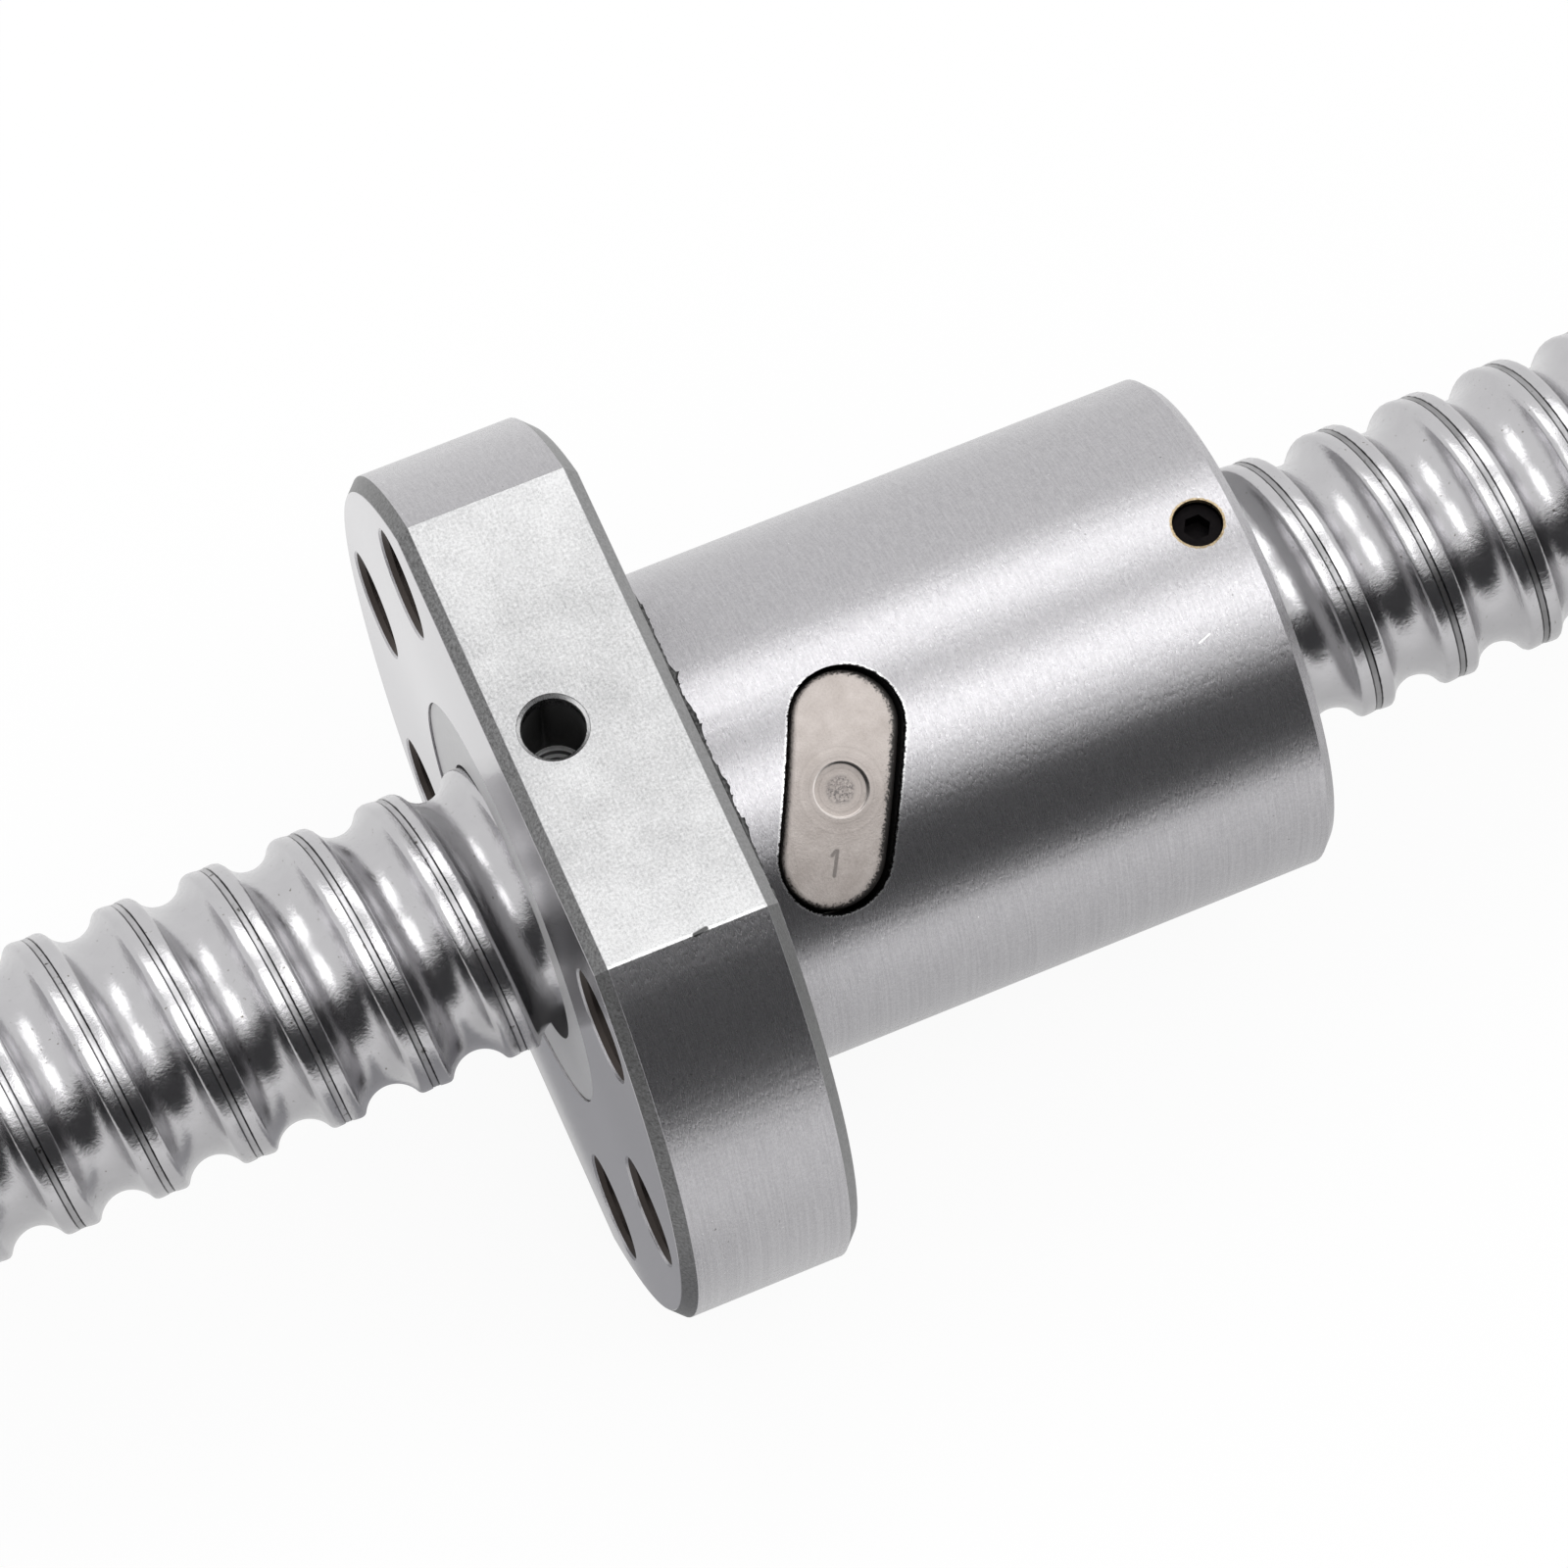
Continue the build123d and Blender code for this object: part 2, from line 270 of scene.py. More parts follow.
def ground_steel():
    """The nut: ground round faces, bright turned face, milled flats, dull chamfers, painted shade in
    its holes, slots and bore, and painted light in the grease hole.
    """
    finish = Finish("nut_ground_steel", metallic=0.95, anisotropic=0.7, turn=0.25)
    tangent = finish.add("ShaderNodeTangent", direction_type="RADIAL", axis="X").outputs[0]
    height = finish.size(finish.z)
    flat = finish.span(height, flat_height - 0.04, flat_height - 0.02)
    face = finish.less(finish.x, nut_low.x + 0.03)
    in_flange = finish.less(finish.x, -0.02)
    near_rim = finish.more(finish.radius, flange_r - 0.8)
    shallow = finish.larger(near_rim, finish.more(height, flat_height - 0.8))
    behind_face = finish.more(finish.x, nut_low.x + 0.12)
    deep_flange = finish.both(finish.opposite(shallow), behind_face, in_flange)
    within_body = finish.between(finish.x, 0.05, nut_high.x - 0.05)
    deep_body = finish.both(finish.less(finish.radius, body_r - 0.7), within_body)
    shaded_inside = finish.larger(deep_flange, deep_body)
    not_flat = finish.opposite(flat)
    rim = finish.both(shallow, not_flat)
    past_chamfer = flange_chamfer - 0.02
    front_edge = finish.both(rim, finish.between(finish.x, nut_low.x + 0.03, nut_low.x + past_chamfer))
    back_edge = finish.both(rim, finish.between(finish.x, -past_chamfer, -0.02))

    # Noises that the tones and the relief share
    rings = finish.joined(finish.times(finish.x, 9.0), finish.times(finish.radius, 9.0),
                          finish.times(finish.y, 0.9))
    rings = finish.noise(rings, 1.0, 3.0, 0.6)
    grain = finish.stretched((14.0, 3.0, 3.0), 3.0, 0.7)
    waves = finish.stretched((0.12, 1.3, 1.3), 2.0, 0.5)
    cloud = finish.noise(finish.place, 0.28, 3.0, 0.6)
    milled = finish.stretched((9.0, 1.3, 1.0), 4.0, 0.8, turned=(0, 0, 0.2))
    sparkle = finish.noise(finish.place, 6.0, 3.0, 0.8)
    specks = finish.noise(finish.place, 3.2, 1.0, 0.4)
    dark_speck = finish.span(specks, 0.80, 0.83)
    bright_speck = finish.span(finish.noise(finish.place, 4.1, 1.0, 0.4), 0.81, 0.83)

    ground = finish.plus(finish.times(rings, 0.45), finish.times(sparkle, 0.55))
    ground = finish.span(ground, 0.38, 0.62)
    ground = finish.mix_colour(ground, grey(0.40, 0.008, 0.016), grey(0.52, 0.008, 0.016))
    ground = finish.mix_colour(finish.times(dark_speck, 0.7), ground, grey(0.16))
    ground = finish.mix_colour(finish.times(bright_speck, 0.8), ground, grey(0.9))
    turned = finish.span(rings, 0.3, 0.7)
    turned = finish.mix_colour(turned, grey(0.44, 0.009, 0.018), grey(0.48, 0.009, 0.018))
    mill_tone = finish.plus(finish.times(cloud, 0.22), finish.times(milled, 0.28))
    mill_tone = finish.plus(mill_tone, finish.times(sparkle, 0.50))
    mill_tone = finish.plus(mill_tone, finish.span(finish.size(finish.y), 5, 14, 0.0, 0.07))
    mill_tone = finish.span(mill_tone, 0.38, 0.62)
    mill = finish.mix_colour(mill_tone, grey(0.33, 0.0, 0.004), grey(0.66, 0.0, 0.004))
    edge_tone = finish.span(sparkle, 0.35, 0.62)
    front_tone = finish.mix_colour(edge_tone, grey(0.12), grey(0.26, 0.0, 0.002))
    back_tone = finish.mix_colour(edge_tone, grey(0.26), grey(0.34, 0.0, 0.002))
    colour = finish.mix_colour(face, ground, turned)
    colour = finish.mix_colour(flat, colour, mill)
    colour = finish.mix_colour(front_edge, colour, front_tone)
    colour = finish.mix_colour(back_edge, colour, back_tone)
    at_rim = finish.more(finish.radius, flange_r - 0.09)
    corner = finish.both(at_rim, flat, finish.less(finish.y, 0))
    glint = finish.both(corner, finish.span(sparkle, 0.38, 0.55))
    colour = finish.mix_colour(glint, colour, grey(0.95))
    above = finish.more(finish.z, 0)
    from_nick = finish.minus(finish.x, nick_x), finish.minus(finish.y, nick_y)
    nick = finish.stroke(*from_nick, 8, 0.9, 0.24)
    colour = finish.mix_colour(finish.both(nick, above, shallow), colour, grey(0.10))
    from_scratch = finish.minus(finish.x, scratch_x), finish.minus(finish.y, scratch_y)
    scratch = finish.stroke(*from_scratch, 18, 0.8, 0.07)
    colour = finish.mix_colour(finish.both(scratch, above), colour, grey(0.98))
    # Painted shade: the nut's inner faces, behind its front face and under the body's skin, are near
    # black.
    colour = finish.mix_colour(shaded_inside, colour, (0.085, 0.072, 0.066, 1))
    colour = hole_tones(finish, colour, sparkle)

    rough = finish.mix(face, finish.span(grain, 0.2, 0.8, 0.24, 0.33), 0.16)
    rough = finish.mix(flat, rough, finish.span(milled, 0.2, 0.8, 0.36, 0.5))
    rough = finish.mix(finish.larger(front_edge, back_edge), rough, 0.5)
    rough = finish.mix(shaded_inside, rough, 0.6)
    relief = finish.plus(finish.times(milled, 0.8), sparkle)
    relief = finish.mix(flat, finish.times(grain, finish.mix(face, 1.0, 0.15)), relief)
    relief = finish.bump(relief, 0.03, 0.8)
    relief = finish.bump(finish.times(waves, finish.opposite(face)), 0.012, 0.6, relief)
    finish.use(Base_Color=colour, Roughness=rough, Normal=relief, Tangent=tangent)
    return finish.material


def hole_tones(finish, colour, ragged):
    """Painted shade in the slots, which keep a burnished rim; in the grease hole, painted shade with a
    painted highlight on its chamfer and painted light on the thread rings at its bottom; the golden
    lock hole, with painted shade below the skin.
    """
    outline = finish.slot_places()[0]
    torn = finish.math("MULTIPLY_ADD", finish.minus(ragged, 0.5), 0.35, outline)
    on_body = finish.more(finish.x, 0.3)
    outer = finish.both(on_body, finish.more(finish.radius, body_r - 0.02))
    rim = finish.both(outer, finish.between(torn, 0.0, 0.13), finish.span(ragged, 0.40, 0.52))
    colour = finish.mix_colour(finish.times(rim, 0.8), colour, grey(0.9))
    # Painted shade: the slots' sides and floors, down to 3 mm below the skin, are near black.
    shallow = finish.more(finish.radius, body_r - 3)
    painted_wall_shading = finish.both(on_body, finish.less(torn, 0.03), shallow)
    colour = finish.mix_colour(painted_wall_shading, colour, grey(0.03))

    from_grease = finish.distance(finish.minus(finish.x, grease_x), finish.y)
    above = finish.more(finish.z, 0)
    # Painted highlight: a bright ring on the grease hole's chamfer.
    mouth_highlight = finish.both(above, finish.between(from_grease, grease_r - 0.02, grease_r + 0.22))
    colour = finish.mix_colour(finish.times(mouth_highlight, 0.8), colour, grey(0.95))
    in_bore = finish.less(from_grease, grease_r + 0.05)
    # Painted shade: the grease hole is near black down its length.
    bore = finish.both(above, in_bore, finish.less(finish.z, flat_height - 0.2))
    colour = finish.mix_colour(bore, colour, grey(0.06))
    # Painted light: bright thread rings on the hole's lower part, 6 mm and more below the flat.
    painted_thread_light = finish.math("SINE", finish.times(from_grease, 2 * math.pi / 0.4))
    lit = finish.both(bore, finish.less(finish.z, flat_height - 6.0))
    painted_thread_light = finish.mix_colour(finish.span(painted_thread_light, -0.5, 0.3), grey(0.15), grey(0.98))
    colour = finish.mix_colour(lit, colour, painted_thread_light)

    from_lock = finish.distance(finish.minus(finish.x, lock_x), finish.y)
    patch = finish.span(ragged, 0.3, 0.7)
    gold = finish.mix_colour(patch, (0.16, 0.11, 0.05, 1), (0.55, 0.45, 0.30, 1))
    reach = finish.span(ragged, 0.3, 0.7, lock_r + 0.06, lock_r + 0.18)
    near_lock = finish.both(above, finish.less(from_lock, reach))
    colour = finish.mix_colour(near_lock, colour, gold)
    # Painted shade: near black in the lock hole more than 0.3 mm below the body's skin.
    lock_hole_shade = finish.both(near_lock, finish.less(finish.radius, body_r - 0.3))
    return finish.mix_colour(lock_hole_shade, colour, grey(0.01))


def rolled_steel():
    """The screw: bright rolled steel, slightly uneven, with two fine lines along each land."""
    finish = Finish("screw_rolled_steel")
    from_seam = finish.add("ShaderNodeAttribute", attribute_name="from_seam").outputs["Fac"]
    broken = finish.noise(finish.place, 1.6, 4.0, 0.7)
    from_line = finish.size(finish.minus(from_seam, seam_half_width))
    from_line = finish.plus(from_line, finish.span(broken, 0.40, 0.62, 0.0, 0.035))
    line = finish.span(from_line, 0.085, 0.035)
    side = finish.add("ShaderNodeAttribute", attribute_name="seam_side").outputs["Fac"]
    band = finish.span(from_seam, seam_half_width + 0.03, seam_half_width - 0.02)
    patches = finish.noise(finish.place, 0.25, 2.0, 0.5)
    waves = finish.noise(finish.place, 0.8, 2.0, 0.5)
    peel = finish.noise(finish.place, 5.5, 4.0, 0.7)
    speck = finish.span(finish.noise(finish.place, 4.5, 2.0, 0.6), 0.70, 0.75)
    colour = finish.mix_colour(waves, grey(0.49, 0.006, 0.012), grey(0.55, 0.006, 0.012))
    colour = finish.mix_colour(speck, colour, (0.16, 0.14, 0.12, 1))
    pitted = finish.both(finish.span(from_seam, 0.34, 0.22), finish.span(broken, 0.62, 0.68))
    colour = finish.mix_colour(pitted, colour, (0.09, 0.085, 0.08, 1))
    worn = finish.span(patches, 0.35, 0.7, 0.0, 0.5)
    worn = finish.plus(worn, finish.span(finish.x, 20, 36, 0.0, 0.35))
    colour = finish.mix_colour(finish.both(band, worn), colour, grey(0.13))
    line = finish.both(line, finish.span(patches, 0.3, 0.6, 0.55, 0.95))
    line = finish.both(line, finish.span(side, -0.5, 0.5, 0.55, 1.0))
    colour = finish.mix_colour(line, colour, (0.06, 0.058, 0.06, 1))
    rough = finish.span(peel, 0.3, 0.7, 0.14, 0.21)
    rough = finish.mix(band, rough, 0.3)
    relief = finish.bump(waves, 0.05, 0.6)
    relief = finish.bump(peel, 0.022, 0.7, relief)
    finish.use(Base_Color=colour, Roughness=rough, Normal=relief)
    return finish.material


def champagne_alloy():
    """The return inserts: warm satin metal turned round its dimple, with painted shade on its rounded
    rim and painted light and shade on a ring at the dimple's edge.
    """
    finish = Finish("insert_champagne_alloy", metallic=0.3)
    outline, along, across = finish.slot_places()
    middle = finish.distance(along, across)
    skin = finish.noise(finish.place, 7.0, 3.0, 0.7)
    cloud = finish.noise(finish.place, 0.9, 2.0, 0.5)
    rings = finish.rings(middle, 5.0)
    near = finish.span(middle, 3.2, 1.5)
    grain = finish.plus(finish.times(cloud, 0.5), finish.times(skin, 0.5))
    grain = finish.span(grain, 0.35, 0.65)
    colour = finish.mix_colour(grain, (0.45, 0.40, 0.372, 1), (0.60, 0.545, 0.515, 1))
    ring_share = finish.both(near, finish.span(rings, 0.35, 0.65), 0.6)
    colour = finish.mix_colour(ring_share, colour, (0.34, 0.30, 0.28, 1))
    # Painted shade: a near-black band round the insert's rounded rim, wider on its +across side.
    rim = finish.math("MULTIPLY_ADD", finish.minus(skin, 0.5), 0.9, outline)
    rim = finish.math("MULTIPLY_ADD", across, 0.075, rim)
    colour = finish.mix_colour(finish.span(rim, -0.60, -0.38), colour, (0.035, 0.032, 0.03, 1))
    # Painted light and shade: a ring at the dimple's edge, pale towards -along and near black towards
    # +along and +across.
    from_light = finish.math("MULTIPLY_ADD", across, 0.5, along)
    painted_wall_shading = finish.span(from_light, -0.4, 1.2)
    painted_wall_shading = finish.mix_colour(painted_wall_shading, (0.75, 0.70, 0.67, 1), (0.06, 0.055, 0.052, 1))
    colour = finish.mix_colour(finish.between(middle, dimple_r - 0.07, dimple_r + 0.07), colour, painted_wall_shading)
    along = finish.minus(along, figure_along)
    across = finish.minus(across, figure_across)
    stem = finish.stroke(along, across, 0, 1.5, 0.2)
    flag = finish.stroke(finish.minus(along, 0.52), finish.plus(across, 0.16), 35, 0.5, 0.2)
    figure = finish.times(finish.larger(stem, flag), 0.65)
    colour = finish.mix_colour(figure, colour, (0.12, 0.108, 0.10, 1))
    pit = finish.both(finish.span(middle, 0.85, 0.6), finish.span(skin, 0.4, 0.62))
    colour = finish.mix_colour(pit, colour, (0.17, 0.155, 0.15, 1))
    rough = finish.span(skin, 0.3, 0.7, 0.40, 0.56)
    relief = finish.bump(skin, 0.04, 0.8)
    relief = finish.bump(finish.times(rings, near), 0.03, 0.6, relief)
    finish.use(Base_Color=colour, Roughness=rough, Normal=relief)
    return finish.material


def pale_plastic():
    """The wiper rings: light grey moulded plastic with faint turning rings."""
    finish = Finish("wiper_pale_plastic", metallic=0.0, roughness=0.32)
    rings = finish.rings(finish.radius, 6.0)
    mottle = finish.noise(finish.place, 3.0, 2.0, 0.6)
    colour = finish.mix_colour(mottle, grey(0.46, 0.002, 0.008), grey(0.54, 0.002, 0.008))
    finish.use(Base_Color=colour, Normal=finish.bump(rings, 0.012, 0.5))
    return finish.material


def passivated_steel():
    """The small lock screw: nearly black steel with a brown tinge."""
    finish = Finish("lock_screw_passivated", roughness=0.6)
    patch = finish.noise(finish.place, 3.5, 3.0, 0.6)
    colour = finish.mix_colour(patch, (0.005, 0.005, 0.006, 1), (0.014, 0.012, 0.012, 1))
    finish.use(Base_Color=colour, Normal=finish.bump(patch, 0.01, 0.5))
    return finish.material


def bearing_steel():
    """The balls: mirror bright, with the faintest haze."""
    finish = Finish("ball_bearing_steel")
    haze = finish.noise(finish.place, 6.0, 2.0, 0.5)
    colour = finish.mix_colour(haze, grey(0.60), grey(0.66))
    rough = finish.span(haze, 0.3, 0.7, 0.04, 0.09)
    finish.use(Base_Color=colour, Roughness=rough)
    return finish.material


def burr_steel_and_shade():
    """The torn edge left by milling: dull steel with painted shade, its near-black tone standing for
    the shade on its underside.
    """
    finish = Finish("burr_dull_steel_and_shade", roughness=0.5)
    tone = finish.noise(finish.place, 4.0, 2.0, 0.6)
    finish.use(Base_Color=finish.mix_colour(finish.span(tone, 0.35, 0.65), grey(0.03), grey(0.13)))
    return finish.material


def dress(piece, material):
    """Give a piece one material in place of what it came with."""
    piece.data.materials.clear()
    piece.data.materials.append(material)


def new_piece(name, points, faces, body, material):
    """A mesh from points in millimetres and faces, merged, smooth, and riding on a body."""
    mesh = bpy.data.meshes.new(name)
    mesh.from_pydata(points * mm, [], faces)
    welded = bmesh.new()
    welded.from_mesh(mesh)
    bmesh.ops.remove_doubles(welded, verts=welded.verts, dist=1e-4 * mm)
    bmesh.ops.dissolve_degenerate(welded, edges=welded.edges, dist=1e-5 * mm)
    bmesh.ops.recalc_face_normals(welded, faces=welded.faces)
    welded.to_mesh(mesh)
    welded.free()
    mesh.shade_smooth()
    piece = bpy.data.objects.new(name, mesh)
    bpy.context.scene.collection.objects.link(piece)
    dress(piece, material)
    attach(piece, body)
    return piece


def thread_profile():
    """Half the thread's form, from the groove's middle to the land's: (distance, radius) pairs.

    The groove is an arc about the ball's centre. A rounding of its own radius, tangent to
    that arc, rises to the land's full height, the lip falls away as a square law, and a
    fine notch parts it from the narrow band in the middle of the land.
    """
    rise = ball_circle_r - screw_r + land_rounding
    reach = groove_r + land_rounding
    round_at = math.sqrt(reach**2 - rise**2)
    turn = math.asin(round_at / reach)
    groove = np.linspace(0, turn, 11)[:-1]
    rounding = np.linspace(turn, 0, 6)[:-1]
    shoulder_r = screw_r - land_rounding * (1 - np.cos(rounding))
    lip_end = lead / 2 - seam_half_width - seam_line
    lip = np.linspace(0, 1, 4)
    lip_r = screw_r - lip_fall
    band_r = lip_r - band_fall
    seam = np.array([
        [lip_end + seam_line, lip_r - seam_depth],
        [lip_end + 2 * seam_line, band_r],
        [lead / 2, band_r],
    ])
    parts = [
        np.stack([groove_r * np.sin(groove), ball_circle_r - groove_r * np.cos(groove)], 1),
        np.stack([round_at - land_rounding * np.sin(rounding), shoulder_r], 1),
        np.stack([round_at + (lip_end - round_at) * lip, screw_r - lip_fall * lip**2], 1),
        seam,
    ]
    return np.concatenate(parts)


def rolled_screw():
    """The screw with its lips and seam, as one sheared grid.

    A row is one place in the thread's form, followed round the screw: its x grows by a lead
    a turn, so its end meets the row one lead further on. Rows that run past an end of the
    screw are held in that end's plane, where a fan closes the face. The radius is the
    thread's form at that place, sunk along the seam by a slow wave, and cut down by a
    45 degree cone at both ends.
    """
    half = thread_profile()
    across = np.concatenate([half[:, 0], lead - half[-2:0:-1, 0]])
    radii = np.concatenate([half[:, 1], half[-2:0:-1, 1]])
    columns = 54
    per_turn = len(across)
    first = groove_at_top + lead * (math.floor((screw_low.x - groove_at_top) / lead) - 1)
    turns = math.ceil((screw_high.x - first) / lead) + 1
    steps = (first + lead * np.arange(turns)[:, None] + across[None, :]).ravel()
    turn = np.linspace(0, 2 * math.pi, columns, endpoint=False)
    x = steps[:, None] + lead * turn[None, :] / (2 * math.pi)
    held = np.clip(x, screw_low.x, screw_high.x)
    phase = np.mod(held - groove_at_top - lead * turn[None, :] / (2 * math.pi), lead)
    radius = np.interp(phase, np.append(across, lead), np.append(radii, radii[0]))
    wander = 0.5 + 0.5 * np.sin(held * 2.9 + 1.3 * np.sin(3 * turn + held))
    in_seam = np.clip(1 - np.abs(phase - lead / 2) / seam_half_width, 0, 1)
    radius = radius - band_wander * wander * in_seam
    from_end = np.minimum(held - screw_low.x, screw_high.x - held)
    radius = np.minimum(radius, screw_r - end_chamfer + from_end)
    points = np.stack([held, -radius * np.sin(turn), radius * np.cos(turn)], 2).reshape(-1, 3)
    points = np.concatenate([points, [[screw_low.x, 0, 0], [screw_high.x, 0, 0]]])

    rows = len(steps)
    index = np.arange(rows * columns).reshape(rows, columns)
    last = np.full(rows, -1)
    last[:-per_turn] = index[per_turn:, 0]
    wrapped = np.concatenate([index, last[:, None]], 1)
    quads = np.stack([wrapped[:-1, :-1], wrapped[:-1, 1:], wrapped[1:, 1:], wrapped[1:, :-1]], 2)
    quads = quads.reshape(-1, 4)
    quads = quads[(quads >= 0).all(1)]
    span = np.ptp(points[quads, 0], axis=1)
    all_held = np.isin(points[quads, 0], (screw_low.x, screw_high.x)).all(1)
    quads = quads[~(all_held & (span < 1e-9))]
    ring = np.arange(columns)
    after = np.roll(ring, -1)
    low_middle, high_middle = rows * columns, rows * columns + 1
    low_cap = np.stack([np.full(columns, low_middle), index[0, ring], index[0, after]], 1)
    high_cap = np.stack([np.full(columns, high_middle), index[-1, after], index[-1, ring]], 1)
    faces = quads.tolist() + low_cap.tolist() + high_cap.tolist()
    piece = new_piece("rolled_screw", points, faces, "screw", rolled_steel())
    mark_seam(piece.data)
    piece.data.set_sharp_from_angle(angle=math.radians(40))
    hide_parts("screw_shaft")


def mark_seam(mesh):
    """Two numbers at every vertex of the screw, for its material.

    from_seam is the distance along the screw from the middle of the nearest land, and
    seam_side runs from -1 on the land's -X side to 1 on its +X side.
    """
    places = np.empty(len(mesh.vertices) * 3, np.float32)
    mesh.vertices.foreach_get("co", places)
    places = places.reshape(-1, 3) / mm
    angle = np.arctan2(-places[:, 1], places[:, 2])
    phase = np.mod(places[:, 0] - groove_at_top - lead * angle / (2 * math.pi), lead)
    past_middle = phase - lead / 2
    marks = {
        "from_seam": np.abs(past_middle),
        "seam_side": np.clip(past_middle / seam_half_width, -1, 1),
    }
    for name, values in marks.items():
        attribute = mesh.attributes.new(name, "FLOAT", "POINT")
        attribute.data.foreach_set("value", values.astype(np.float32))


def torn_edge():
    """The ragged lip that milling left along the flat's back edge, as a closed four-sided strip.

    Its reach past the edge is a slow swell, a fine ripple and a saw raised to the fifth power
    that draws out single points; it fades out towards both ends.
    """
    y = np.linspace(torn_from_y, torn_to_y, 420)
    share = np.linspace(0, 1, len(y))
    swell = (0.5 + 0.5 * np.sin(1.9 * y + 1.1 * np.sin(0.9 * y))) ** 2
    point = np.mod(0.95 * y + 0.40 * np.sin(1.7 * y), 1) ** 5
    ripple = 0.5 + 0.5 * np.sin(9.7 * y + 2.0 * np.sin(3.1 * y))
    reach = 0.07 + 0.18 * swell + 0.22 * point * (0.4 + 0.6 * swell) + 0.05 * ripple
    reach = reach * np.sin(math.pi * share) ** 0.5 + 1e-3
    edge = flat_height - flange_chamfer
    drop = 0.04 + 0.10 * (0.5 + 0.5 * np.sin(3.7 * y))
    root = np.full_like(y, -0.05)
    rows = np.stack([
        np.stack([root, y, np.full_like(y, edge + 0.04)], 1),
        np.stack([reach, y, edge - 0.3 * drop], 1),
        np.stack([0.8 * reach, y, edge - drop - 0.04], 1),
        np.stack([root, y, edge - drop - 0.10], 1),
    ], 1)
    index = np.arange(4 * len(y)).reshape(-1, 4)
    sides = np.roll(index, -1, axis=1)
    quads = np.stack([index[:-1], sides[:-1], sides[1:], index[1:]], 2).reshape(-1, 4)
    faces = quads.tolist() + [index[0].tolist(), index[-1, ::-1].tolist()]
    new_piece("torn_edge", rows.reshape(-1, 3), faces, "nut", burr_steel_and_shade())


def dress_frame():
    """Give every CAD node that shows its own finish."""
    finishes = {
        "nut_body": ground_steel(),
        "return_insert": champagne_alloy(),
        "wiper_lock_screw": passivated_steel(),
        "wiper": pale_plastic(),
        "ball": bearing_steel(),
    }
    for name, piece in frame["nodes"].items():
        kind = next((key for key in finishes if name.startswith(key)), None)
        if kind:
            dress(piece, finishes[kind])


# The camera looks down on the flat from the flange's side; millimetres and degrees
camera_aim = np.array([6.104, 0.522, 0.0])
camera_azimuth = -23.01
camera_elevation = 66.47
camera_distance = 358.98
camera_roll = -0.348
camera_lens = 153.936

# Lamps, cards and floor, in metres; a level is a radiance where the background's is 1
lamp_distance, lamp_along, lamp_length = 1.5, 0.22, 0.9
room_distance, card_reach, dark_level = 1.1, 6.0, 0.06
floor_reach = 3.0
floor_height = (nut_low.z - 0.2) * mm


def direction(azimuth, elevation):
    """The unit vector from the object towards a place round it; azimuth 0 is -Y."""
    side, up = math.radians(azimuth), math.radians(elevation)
    return np.array([math.sin(side) * math.cos(up), -math.cos(side) * math.cos(up), math.sin(up)])


def aimed(thing, place, aim, roll=0.0):
    """Put a camera or lamp at a place so that its -Z looks at aim."""
    look = Vector(aim - place)
    turned = look.to_track_quat("-Z", "Y").to_matrix().to_4x4()
    rolled = Matrix.Rotation(math.radians(roll), 4, "Z")
    thing.matrix_world = Matrix.Translation(Vector(place)) @ turned @ rolled


def make_camera():
    """The photograph's view of the part."""
    data = bpy.data.cameras.new("camera")
    data.lens = camera_lens
    camera = bpy.data.objects.new("camera", data)
    bpy.context.scene.collection.objects.link(camera)
    aim = camera_aim * mm
    place = aim + direction(camera_azimuth, camera_elevation) * camera_distance * mm
    aimed(camera, place, aim, camera_roll)
    data.clip_start, data.clip_end = 0.01, 20
    bpy.context.scene.camera = camera


def round_axis(angle, distance, along=0.0):
    """A place in metres at an angle round the screw, from over the flat and growing towards -Y."""
    turn = math.radians(angle)
    return np.array([along, -distance * math.sin(turn), distance * math.cos(turn)])


def lamp(name, angle, width, level):
    """A soft rectangular lamp that faces the axis; its level is its radiance."""
    data = bpy.data.lights.new(name, "AREA")
    data.shape = "RECTANGLE"
    data.size, data.size_y = lamp_length, width
    data.energy = level * math.pi * lamp_length * width
    piece = bpy.data.objects.new(name, data)
    bpy.context.scene.collection.objects.link(piece)
    aimed(piece, round_axis(angle, lamp_distance, lamp_along), np.zeros(3))
    piece.visible_camera = False


def sheet(name, corners):
    """A flat sheet between four corners in metres, which isn't part of the object."""
    mesh = bpy.data.meshes.new(name)
    mesh.from_pydata([tuple(corner) for corner in corners], [], [(0, 1, 2, 3)])
    piece = bpy.data.objects.new(name, mesh)
    bpy.context.scene.collection.objects.link(piece)
    return piece


def level_sheet(name, low_x, high_x, low_y, high_y, height):
    """A level sheet between two x, two y and at one height, in metres."""
    corners = [(low_x, low_y), (high_x, low_y), (high_x, high_y), (low_x, high_y)]
    return sheet(name, [(x, y, height) for x, y in corners])


def as_card(piece, level):
    """Make a sheet a matt card that only reflections see."""
    material = bpy.data.materials.new(piece.name)
    material.use_nodes = True
    tree = material.node_tree
    tree.nodes.remove(tree.nodes["Principled BSDF"])
    glow = tree.nodes.new("ShaderNodeEmission")
    glow.inputs["Color"].default_value = (level, level, level * 1.04, 1)
    tree.links.new(glow.outputs[0], tree.nodes["Material Output"].inputs["Surface"])
    dress(piece, material)
    piece.visible_camera = False
    piece.visible_diffuse = False
    piece.visible_shadow = False


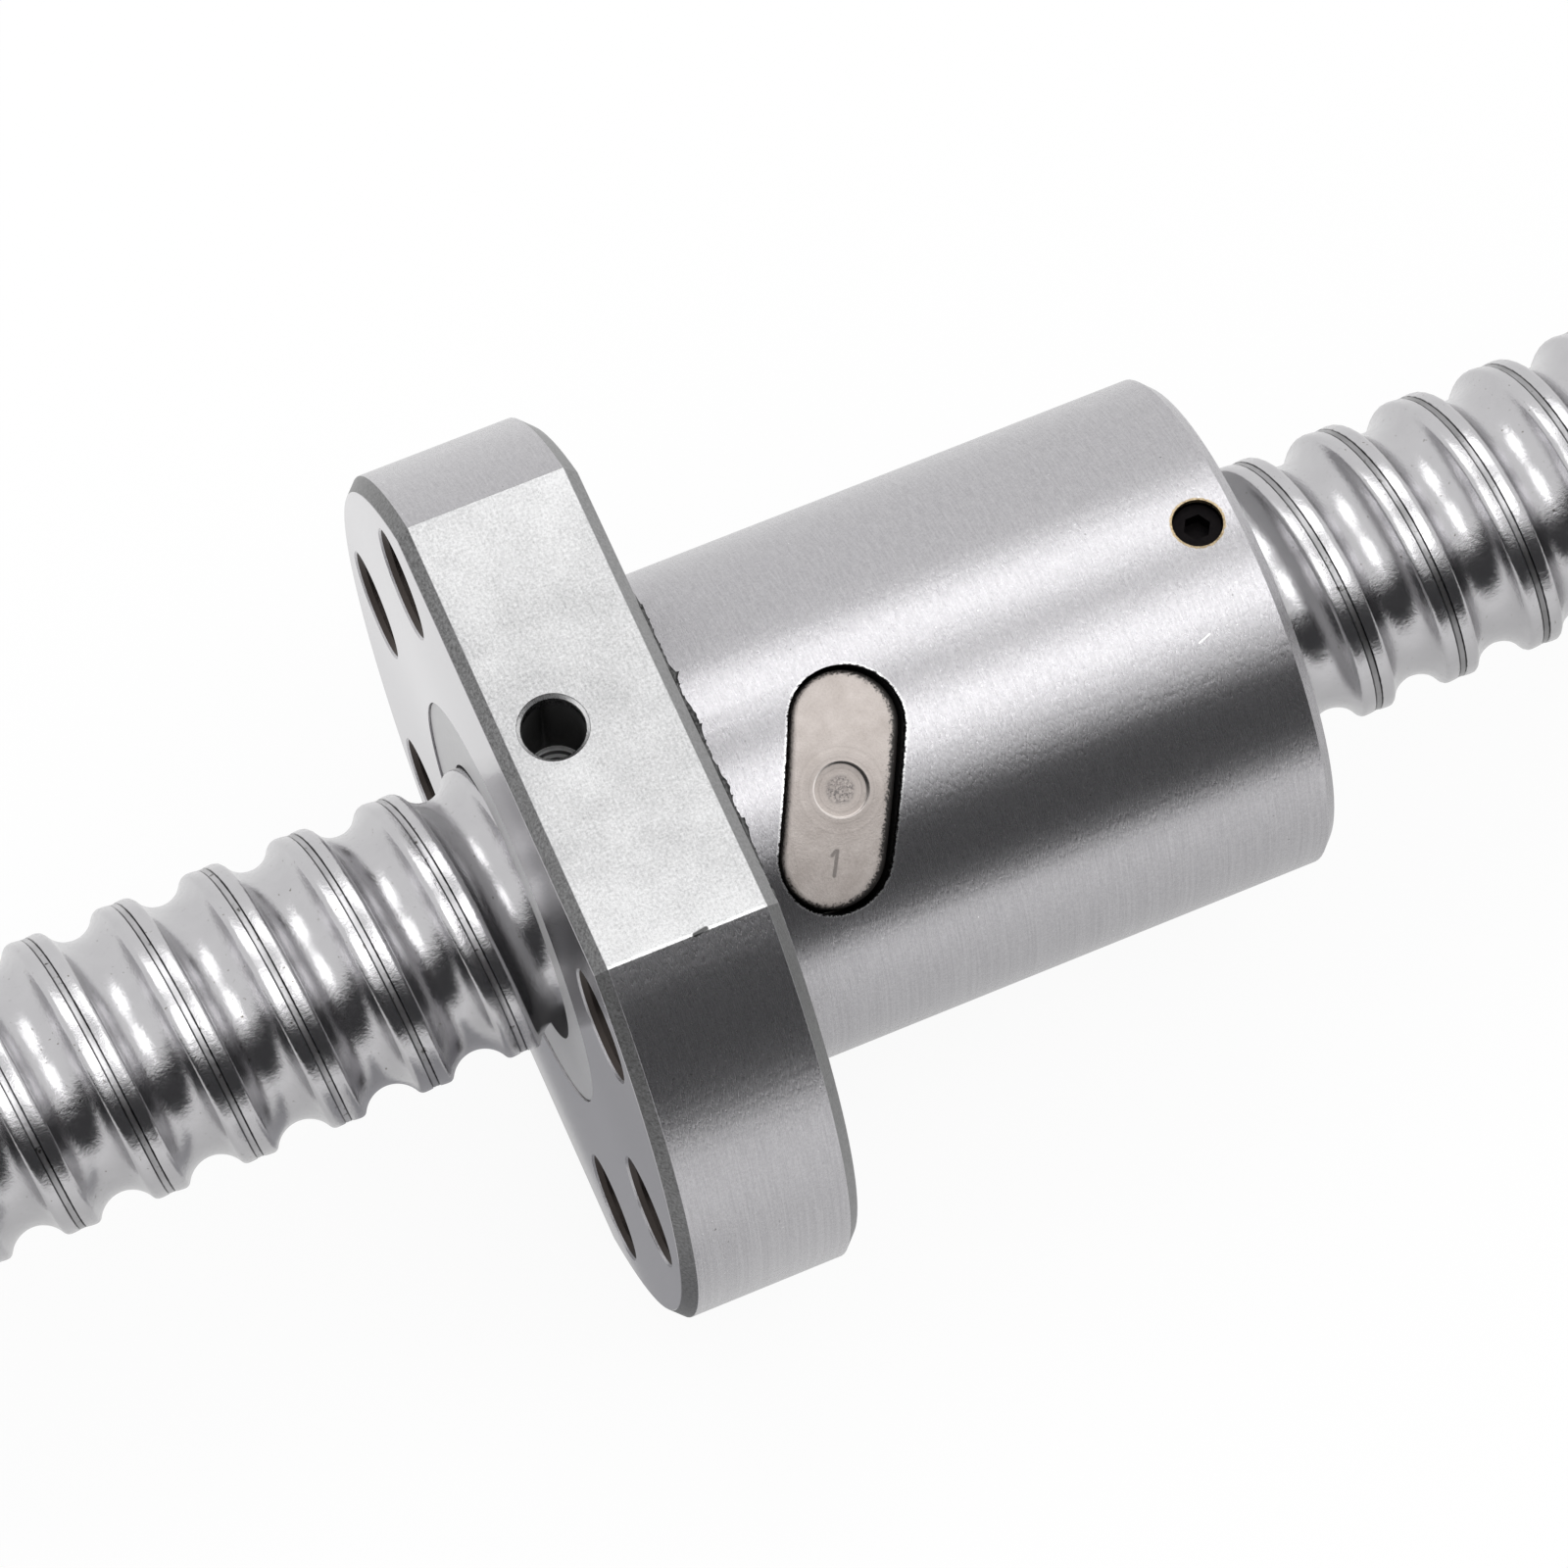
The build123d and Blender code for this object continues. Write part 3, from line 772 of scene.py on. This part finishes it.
def seen_plainly(tree):
    """1 for camera, glossy and transmission rays, and 0 for the rest."""
    path = tree.nodes.new("ShaderNodeLightPath")
    first = tree.nodes.new("ShaderNodeMath")
    second = tree.nodes.new("ShaderNodeMath")
    second.use_clamp = True
    tree.links.new(path.outputs["Is Camera Ray"], first.inputs[0])
    tree.links.new(path.outputs["Is Glossy Ray"], first.inputs[1])
    tree.links.new(first.outputs[0], second.inputs[0])
    tree.links.new(path.outputs["Is Transmission Ray"], second.inputs[1])
    return second.outputs[0]


def make_world():
    """White all round for the camera and in reflections, and softer as a light."""
    as_light, as_seen = 0.85, 1.0
    world = bpy.data.worlds.new("studio")
    bpy.context.scene.world = world
    world.use_nodes = True
    tree = world.node_tree
    background = tree.nodes["Background"]
    background.inputs["Color"].default_value = (1, 1, 1, 1)
    strength = tree.nodes.new("ShaderNodeMix")
    strength.inputs[2].default_value = as_light
    strength.inputs[3].default_value = as_seen
    tree.links.new(seen_plainly(tree), strength.inputs[0])
    tree.links.new(strength.outputs[0], background.inputs["Strength"])


def make_floor():
    """A plain white floor under the lower flat that keeps a soft shadow.

    It glows for the camera and in reflections, and glow_share leaves the rest to its white
    paint. In reflections a painted shadow dims the glow from far_level to near_level between
    two places on its -Y side, and the glow brightens again to full under the part.
    """
    far_y, near_y, far_level, near_level = -0.07, -0.018, 1.03, 0.74
    under_low_y, under_high_y = -0.010, 0.02
    white, full, glow_share = 0.92, 1.0, 0.92
    floor = level_sheet("floor", -floor_reach, floor_reach, -floor_reach, floor_reach, floor_height)
    material = bpy.data.materials.new("floor_white")
    material.use_nodes = True
    tree = material.node_tree
    paint = tree.nodes["Principled BSDF"]
    paint.inputs["Base Color"].default_value = grey(white)
    paint.inputs["Roughness"].default_value = 0.9
    glow = tree.nodes.new("ShaderNodeEmission")
    glow.inputs["Color"].default_value = grey(1)
    path = tree.nodes.new("ShaderNodeLightPath")
    place = tree.nodes.new("ShaderNodeTexCoord")
    split = tree.nodes.new("ShaderNodeSeparateXYZ")
    tree.links.new(place.outputs["Object"], split.inputs[0])
    both_sides = tree.nodes.new("ShaderNodeMath")
    # Painted shadow: in reflections the glow is dimmer beside the part's -Y side.
    stretches = [
        (far_y, near_y, far_level, near_level),
        (under_low_y, under_high_y, 0.0, full - near_level),
    ]
    for index, values in enumerate(stretches):
        dim = tree.nodes.new("ShaderNodeMapRange")
        for socket, value in zip(dim.inputs[1:5], values):
            socket.default_value = value
        tree.links.new(split.outputs["Y"], dim.inputs[0])
        tree.links.new(dim.outputs[0], both_sides.inputs[index])
    level = tree.nodes.new("ShaderNodeMix")
    tree.links.new(both_sides.outputs[0], level.inputs[2])
    level.inputs[3].default_value = full
    tree.links.new(path.outputs["Is Camera Ray"], level.inputs[0])
    tree.links.new(level.outputs[0], glow.inputs["Strength"])
    blend = tree.nodes.new("ShaderNodeMixShader")
    share = tree.nodes.new("ShaderNodeMath")
    share.operation = "MULTIPLY"
    share.inputs[1].default_value = glow_share
    tree.links.new(seen_plainly(tree), share.inputs[0])
    tree.links.new(share.outputs[0], blend.inputs[0])
    tree.links.new(paint.outputs[0], blend.inputs[1])
    tree.links.new(glow.outputs[0], blend.inputs[2])
    tree.links.new(blend.outputs[0], tree.nodes["Material Output"].inputs["Surface"])
    dress(floor, material)


def make_studio():
    """Two soft lamps overhead, dark cards for the room and the table's front, and a grey one
    on the floor by the flange's front face, a painted shadow that only reflections see.
    """
    lamp("lamp_back", -28.5, 0.70, 1.85)
    lamp("lamp_top", 14.5, 0.66, 2.15)
    upper, lower = round_axis(43.5, room_distance), round_axis(91.0, room_distance)
    aside = np.array([card_reach, 0, 0])
    room = sheet("dark_room", [upper - aside, upper + aside, lower + aside, lower - aside])
    table = floor_height + 0.05 * mm
    as_card(room, dark_level)
    as_card(level_sheet("dark_table", -card_reach, card_reach, -1.2, -0.25, table), dark_level)
    # Painted shadow: a grey card by the flange's front face that stands for the floor's shade in
    # reflections.
    as_card(level_sheet("grey_shadow_card", -0.021, -0.0105, -0.05, 0.003, table), 0.38)


rolled_screw()
torn_edge()
dress_frame()
make_camera()
make_world()
make_floor()
make_studio()

bpy.context.scene.view_settings.view_transform = "Standard"
